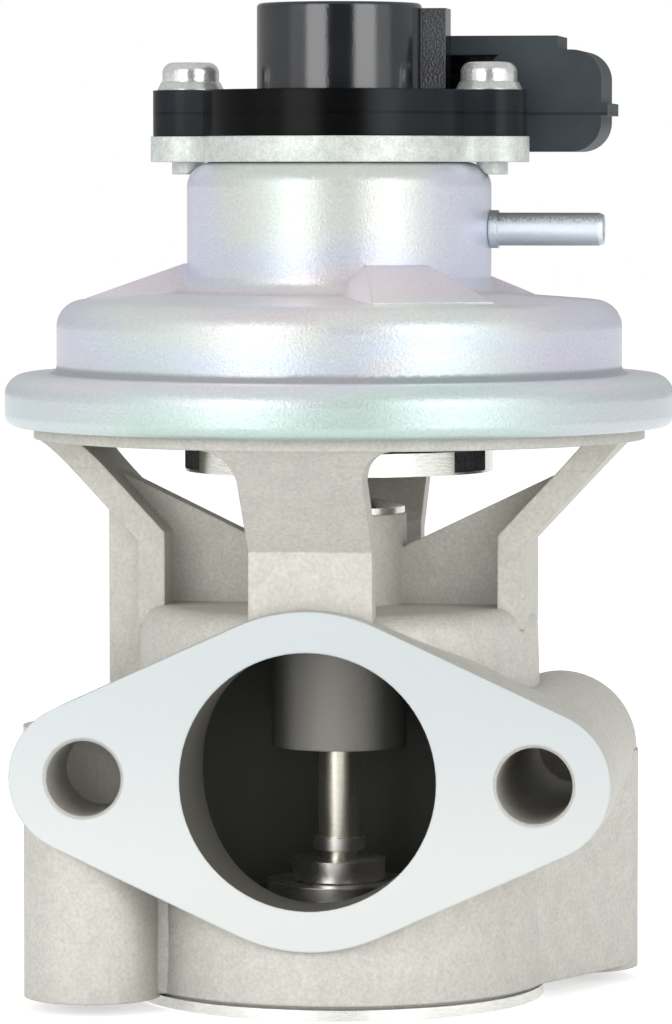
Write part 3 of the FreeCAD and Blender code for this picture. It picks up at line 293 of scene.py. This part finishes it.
def zinc_can():
    """Pearly zinc plating: the tint of its thin film drifts with height and round the can; its sides
    get a painted lavender sheen, and painted shade darkens the dome's rim crease and the neck's foot.
    """
    can_low, can_high = 69.3 * MM, 101.3 * MM
    rim_top, dome_low, dome_high, neck_low = 74.5 * MM, 76 * MM, 85.5 * MM, 86 * MM
    gusset_root, gusset_low = 19 * MM, 85.45 * MM
    crease_place, foot_place = (34.4 * MM, 75.7 * MM), (19.8 * MM, 84.6 * MM)

    made = Finish("zinc_can")
    drift = made.noise(22 * MM, detail=2, finer=(1.0, 1.0, 1.6))
    blush = made.noise(26 * MM, detail=2, seed=4.0)
    grain = made.noise(0.34 * MM, detail=2, rough=0.7)

    height = made.add("ShaderNodeMapRange")
    made.put(height.inputs["Value"], made.maths("ADD", made.z, made.vary(drift, -2.2 * MM, 2.2 * MM)))
    made.put(height.inputs["From Min"], can_low)
    made.put(height.inputs["From Max"], can_high)
    colour = made.ramp(height.outputs["Result"], [
        (0.00, tone(190, 212, 204)),
        (0.10, tone(202, 220, 215)),
        (0.19, tone(212, 220, 224)),
        (0.25, tone(220, 218, 222)),
        (0.33, tone(210, 220, 231)),
        (0.42, tone(220, 224, 218)),
        (0.50, tone(218, 212, 215)),
        (0.60, tone(206, 211, 224)),
        (0.74, tone(214, 218, 213)),
        (1.00, tone(212, 219, 209)),
    ])
    pink = made.between(blush, 0.5, 0.68, 0.0, 0.5)
    colour = made.mix(pink, colour, tone(220, 208, 220))
    aqua = made.between(blush, 0.5, 0.34, 0.0, 0.5)
    colour = made.mix(aqua, colour, tone(202, 220, 221))

    sideways = made.maths("ABSOLUTE", made.x)
    from_axis = made.radius(made.x, made.y)
    neck_side_sheen = made.all_of(
        made.over(sideways, 13 * MM, 8 * MM),
        made.over(made.z, neck_low, 4 * MM),
    )
    dome_side_sheen = made.all_of(
        made.over(sideways, 26.5 * MM, 13 * MM),
        made.over(made.z, dome_low, 2 * MM),
        made.under(made.z, dome_high, 3 * MM),
    )
    rim_side_sheen = made.all_of(
        made.over(sideways, 29 * MM, 18 * MM),
        made.under(made.z, rim_top, 1 * MM),
    )
    on_gusset = made.all_of(
        made.over(from_axis, gusset_root, 0.6 * MM),
        made.over(made.z, gusset_low, 1.1 * MM),
    )
    # the film's own tint, pushed to lavender on the sides of the neck, dome and rim as a painted sheen;
    # the gusset's pink is the film's own tint
    colour = made.mix(made.maths("MULTIPLY", neck_side_sheen, 0.8), colour, tone(212, 214, 234))
    colour = made.mix(made.maths("MULTIPLY", dome_side_sheen, 0.8), colour, tone(208, 208, 224))
    colour = made.mix(made.maths("MULTIPLY", rim_side_sheen, 0.7), colour, tone(200, 208, 216))
    colour = made.mix(made.maths("MULTIPLY", on_gusset, 0.7), colour, tone(220, 208, 212))

    colour = made.shade(colour, made.vary(grain, 0.94, 1.05))
    # painted shade: darker lines in the crease at the dome's rim and round the neck's foot
    crease = made.radius(from_axis, made.z, crease_place)
    colour = made.shade(colour, made.between(crease, 0.5 * MM, 1.2 * MM, 0.60, 1.0))
    foot = made.radius(from_axis, made.z, foot_place)
    colour = made.shade(colour, made.between(foot, 0.6 * MM, 1.6 * MM, 0.84, 1.0))
    normal = made.bump(grain, 0.05 * MM, made.edges(0.25 * MM))
    return made.finish(Base_Color=colour, Metallic=0.29, Roughness=0.28, Normal=normal)


def zinc_pipe():
    """Bright nipple, greyer and speckled along its top, with painted shade darkening its underside."""
    underside_shade_low, underside_shade_high = 91.6 * MM, 92.6 * MM
    grey_top_low, grey_top_high = 93.9 * MM, 94.8 * MM
    made = Finish("zinc_pipe")
    grain = made.noise(0.3 * MM, detail=3, rough=0.7)
    ragged_height = made.maths("ADD", made.z, made.vary(grain, -0.4 * MM, 0.4 * MM))
    top = made.between(ragged_height, grey_top_low, grey_top_high)
    tint = made.mix(top, tone(224, 232, 240), tone(150, 154, 152))
    tint = made.shade(tint, made.vary(grain, 0.92, 1.05, spread=0.25))
    # painted shade: darker underneath
    tint = made.shade(tint, made.between(made.z, underside_shade_low, underside_shade_high, 0.80, 1.0))
    normal = made.bump(grain, 0.03 * MM, made.edges(0.2 * MM))
    return made.finish(Base_Color=tint, Metallic=0.5, Roughness=0.35, Normal=normal)


def zinc(name, colour, warm, metal, rough):
    """Zinc plating, mottled between two near tints."""
    made = Finish(name)
    mottle = made.noise(1.6 * MM, detail=4, rough=0.7)
    grain = made.noise(0.3 * MM, detail=2, rough=0.7)
    tint = made.mix(made.vary(mottle, 0.0, 1.0), colour, warm)
    tint = made.shade(tint, made.vary(grain, 0.82, 1.06, spread=0.25))
    normal = made.bump(grain, 0.03 * MM, made.edges(0.3 * MM))
    return made.finish(Base_Color=tint, Metallic=metal, Roughness=rough, Normal=normal)


def plastic(name, colour, rough, gloss=0.5):
    """Moulded plastic with a fine spark-eroded grain."""
    made = Finish(name)
    grain = made.noise(0.28 * MM, detail=2)
    clouds = made.noise(7 * MM, detail=3)
    tint = made.shade(colour, made.vary(clouds, 0.85, 1.15))
    roughness = made.vary(clouds, rough * 0.85, rough * 1.15)
    normal = made.bump(grain, 0.012 * MM, made.edges(0.3 * MM))
    return made.finish(Base_Color=tint, Roughness=roughness, Specular_IOR_Level=gloss, Normal=normal)


def base_plastic():
    """Black base and grey hood moulded in one: glossy black with a painted reflection, lighter on the
    ears and darker in the middle and the recess, and a satin hood.
    """
    hood_front, bridge_side, bridge_top = 5.75 * MM, 16.95 * MM, 114.3 * MM
    sensor_middle, dark_middle_reach, seam_height = -4 * MM, 10.5 * MM, 107.2 * MM

    made = Finish("base_plastic")
    grain = made.noise(0.28 * MM, detail=2)
    clouds = made.noise(7 * MM, detail=3)
    behind = made.over(made.y, hood_front, 0.3 * MM)
    past_bridge = made.maths(
        "MAXIMUM",
        made.over(made.x, bridge_side, 0.3 * MM),
        made.over(made.z, bridge_top, 0.2 * MM),
    )
    hood = made.all_of(behind, past_bridge)
    recess = made.all_of(behind, made.maths("SUBTRACT", 1.0, past_bridge))
    sideways = made.maths("ABSOLUTE", made.maths("SUBTRACT", made.x, sensor_middle))
    # painted reflection: the glossy ears are painted a lighter slate, the middle and the recess a
    # darker black
    dark_middle = made.maths("MAXIMUM", made.under(sideways, dark_middle_reach, 3 * MM), recess)
    black = made.mix(dark_middle, tone(38, 42, 46), tone(9, 10, 11))
    tint = made.mix(hood, black, tone(64, 71, 75))
    tint = made.shade(tint, made.vary(clouds, 0.88, 1.12))
    seam = made.maths("ABSOLUTE", made.maths("SUBTRACT", made.z, seam_height))
    tint = made.shade(tint, made.between(seam, 0.1 * MM, 0.25 * MM, 0.6, 1.0))
    roughness = made.between(hood, 0.0, 1.0, 0.22, 0.5)
    normal = made.bump(grain, 0.012 * MM, made.edges(0.3 * MM))
    return made.finish(Base_Color=tint, Roughness=roughness, Specular_IOR_Level=0.09, Normal=normal)


def filter_foam():
    """Black open foam."""
    cell_size = 0.6 * MM
    made = Finish("filter_foam")
    cells = made.add("ShaderNodeTexVoronoi")
    made.put(cells.inputs["Vector"], made.place)
    made.put(cells.inputs["Scale"], 1 / cell_size)
    tint = made.ramp(cells.outputs["Distance"], [(0.1, tone(12, 12, 13)), (0.7, tone(44, 44, 46))])
    normal = made.bump(cells.outputs["Distance"], 0.25 * MM)
    return made.finish(Base_Color=tint, Roughness=0.9, Normal=normal)


def dress(material, *names):
    """Gives these CAD nodes a material."""
    for name in names:
        node = frame["nodes"][name]
        if not node.material_slots:
            node.data.materials.append(material)
        for slot in node.material_slots:
            slot.material = material


def shade_filling_web(material):
    """A thin web that closes the gap between the fin and the cap's tab: a dark sheet standing in for
    the shadow in that gap.
    """
    left, right = 12.0 * MM, 13.0 * MM
    front, back = 8.2 * MM, 11.8 * MM
    bottom, top = 111.0 * MM, 114.6 * MM
    corners = [(x, y, z) for x in (left, right) for y in (front, back) for z in (bottom, top)]
    faces = [(0, 1, 3, 2), (4, 6, 7, 5), (0, 4, 5, 1), (2, 3, 7, 6), (0, 2, 6, 4), (1, 5, 7, 3)]
    mesh = bpy.data.meshes.new("shade_filling_web")
    mesh.from_pydata(corners, [], faces)
    mesh.materials.append(material)
    made = bpy.data.objects.new("shade_filling_web", mesh)
    bpy.context.collection.objects.link(made)
    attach(made, "housing")


def dress_all():
    """Every CAD node's finish."""
    dress(cast_aluminium(), "valve_body")
    dress(steel("gasket_steel", tone(232, 232, 228), 0.28), "inlet_gasket")
    dress(steel("seat_steel", tone(248, 245, 240), 0.32), "valve_seat", "valve_disc", "stem_collar")
    dress(steel("stem_steel", tone(236, 232, 218), 0.34), "valve_stem")
    dress(steel("bush_iron", tone(150, 146, 140), 0.45), "guide_bush")
    dress(steel("seal_steel", tone(226, 226, 220), 0.24), "stem_seal", "filter_cover")
    dress(steel("plate_steel", tone(176, 176, 172), 0.35), "lower_plate", "upper_plate", "spring_seat")
    dress(steel("spring_steel", tone(150, 150, 152), 0.30), "return_spring", "plunger_spring")
    dress(steel("nut_steel", tone(190, 190, 184), 0.28), "stem_nut")
    dress(zinc_can(), "vacuum_can")
    dress(zinc_pipe(), "vacuum_pipe")
    plate_zinc = zinc("zinc_plate", tone(202, 208, 202), tone(226, 230, 226), metal=0.25, rough=0.42)
    dress(plate_zinc, "sensor_plate")
    screw_zinc = zinc("zinc_screw", tone(232, 234, 232), tone(246, 248, 246), metal=0.7, rough=0.16)
    dress(screw_zinc, "sensor_screws", "screw_washers")
    dress(plastic("rubber", tone(30, 30, 31), 0.6), "diaphragm", "sensor_oring")
    dress(filter_foam(), "vent_filter")
    housing_finish = base_plastic()
    dress(housing_finish, "sensor_housing")
    # a dark web standing in for the shadow behind the cap's tab
    shade_filling_web(housing_finish)
    dress(plastic("cap_plastic", tone(27, 31, 37), 0.15, gloss=1.0), "sensor_cap")
    works_plastic = plastic("works_plastic", tone(222, 216, 204), 0.45)
    dress(works_plastic, "plunger_guide", "wiper_carrier", "sensor_plunger")
    dress(plastic("card", tone(40, 92, 58), 0.35), "track_card")
    dress(steel("contact_metal", tone(224, 198, 140), 0.25), "connector_terminals", "wiper")


# Copies of the pieces that change their shape with the lift

def soft_copy(name):
    """A copy of a CAD node that stands for it, with the node hidden."""
    node = frame["nodes"][name]
    made = bpy.data.objects.new(f"{name}_soft", node.data.copy())
    made.matrix_world = node.matrix_world
    bpy.context.collection.objects.link(made)
    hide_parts(name)
    return made


def spring(name):
    """A copy of a spring, fixed to the housing with a mesh of its own; the real spring shortens towards
    its seat as the valve lifts its lower end.
    """
    made = soft_copy(name)
    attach(made, "housing")
    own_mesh(made)


def soft_pieces():
    """Copies of the two springs, and of the diaphragm, whose middle rides with the valve in the real
    part.
    """
    spring("return_spring")
    spring("plunger_spring")
    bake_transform(soft_copy("diaphragm"))


# Studio

def greatest(tree, value, *others):
    """The highest of these outputs."""
    for other in others:
        node = tree.nodes.new("ShaderNodeMath")
        node.operation = "MAXIMUM"
        tree.links.new(value, node.inputs[0])
        tree.links.new(other, node.inputs[1])
        value = node.outputs["Value"]
    return value


def world():
    """White to the eye, a little greyer in reflections and as light on the object."""
    as_light, mirrored = 0.60, 0.48
    made = bpy.data.worlds.new("studio")
    bpy.context.scene.world = made
    made.use_nodes = True
    tree = made.node_tree
    rays = tree.nodes.new("ShaderNodeLightPath").outputs
    unseen = tree.nodes.new("ShaderNodeMapRange")
    tree.links.new(rays["Is Glossy Ray"], unseen.inputs["Value"])
    unseen.inputs["To Min"].default_value = as_light
    unseen.inputs["To Max"].default_value = mirrored
    level = greatest(tree, rays["Is Camera Ray"], rays["Is Transmission Ray"], unseen.outputs["Result"])
    background = tree.nodes["Background"]
    background.inputs["Color"].default_value = (1, 1, 1, 1)
    tree.links.new(level, background.inputs["Strength"])


def quad(name, corners, material):
    """One four-sided sheet that belongs to the studio."""
    mesh = bpy.data.meshes.new(name)
    mesh.from_pydata(corners, [], [(0, 1, 2, 3)])
    mesh.materials.append(material)
    made = bpy.data.objects.new(name, mesh)
    bpy.context.collection.objects.link(made)
    return made


def floor():
    """A pale floor that keeps the object's shadow: its glow is seen or mirrored, but lights nothing."""
    glow, reach, height = 0.58, 4.0, -0.2 * MM
    made = bpy.data.materials.new("floor")
    made.use_nodes = True
    tree = made.node_tree
    shader = tree.nodes["Principled BSDF"]
    shader.inputs["Base Color"].default_value = (0.82, 0.82, 0.82, 1)
    shader.inputs["Roughness"].default_value = 0.9
    shader.inputs["Emission Color"].default_value = (1, 1, 1, 1)
    rays = tree.nodes.new("ShaderNodeLightPath").outputs
    seen = greatest(tree, rays["Is Camera Ray"], rays["Is Glossy Ray"], rays["Is Transmission Ray"])
    level = tree.nodes.new("ShaderNodeMapRange")
    tree.links.new(seen, level.inputs["Value"])
    level.inputs["To Max"].default_value = glow
    tree.links.new(level.outputs["Result"], shader.inputs["Emission Strength"])
    corners = [(x * reach, y * reach, height) for x, y in ((-1, -1), (1, -1), (1, 1), (-1, 1))]
    quad("floor", corners, made)


def card(name, start, end, level):
    """A standing sheet between two bearings from the object, seen only in reflections."""
    distance, low, high = 1.0, -0.1, 0.75
    made = bpy.data.materials.new(name)
    made.use_nodes = True
    shader = made.node_tree.nodes["Principled BSDF"]
    shader.inputs["Base Color"].default_value = (0, 0, 0, 1)
    shader.inputs["Emission Color"].default_value = (1, 1, 1, 1)
    shader.inputs["Emission Strength"].default_value = level
    left, right = [
        (distance * math.sin(bearing), -distance * math.cos(bearing))
        for bearing in (math.radians(start), math.radians(end))
    ]
    sheet = quad(name, [(*left, low), (*right, low), (*right, high), (*left, high)], made)
    sheet.visible_camera = False
    sheet.visible_diffuse = False
    sheet.visible_shadow = False


def cards():
    """Two bright boxes with a glow beside each and the dark camera side between them."""
    card("left_glow", -64, -38, 0.9)
    card("left_card", -38, -9, 3.4)
    card("dark_card", -9, 29, 0.03)
    card("right_card", 29, 60, 3.4)
    card("right_glow", 60, 84, 1.1)


def lamp(name, place, size, power):
    """A square soft box, aimed at the valve's middle, that lights and isn't mirrored."""
    middle = Vector((0, 0, 0.05))
    light = bpy.data.lights.new(name, "AREA")
    light.size = size
    light.energy = power
    made = bpy.data.objects.new(name, light)
    made.location = place
    made.rotation_euler = (middle - Vector(place)).to_track_quat("-Z", "Y").to_euler()
    made.visible_glossy = False
    bpy.context.collection.objects.link(made)


def lamps():
    """Soft boxes from the front left, the front right, above and straight ahead."""
    lamp("left_box", (-0.75, -0.70, 0.45), size=0.6, power=3.4)
    lamp("right_box", (0.85, -0.60, 0.40), size=0.6, power=2.8)
    lamp("top_box", (0.0, 0.10, 1.0), size=0.7, power=1.8)
    lamp("front_box", (0.15, -1.10, 0.10), size=0.4, power=1.0)


def camera():
    """The photograph's view: a long lens, 8 degrees to the right and a little above."""
    data = bpy.data.cameras.new("camera")
    data.lens = 190
    data.sensor_width = 36
    made = bpy.data.objects.new("camera", data)
    made.location = (0.0961, -0.651, 0.0996)
    aim = Vector((-0.0004, 0.0, 0.0587))
    made.rotation_euler = (aim - made.location).to_track_quat("-Z", "Y").to_euler()
    bpy.context.collection.objects.link(made)
    bpy.context.scene.camera = made


dress_all()
soft_pieces()
world()
floor()
cards()
lamps()
camera()
bpy.context.scene.view_settings.view_transform = "Standard"
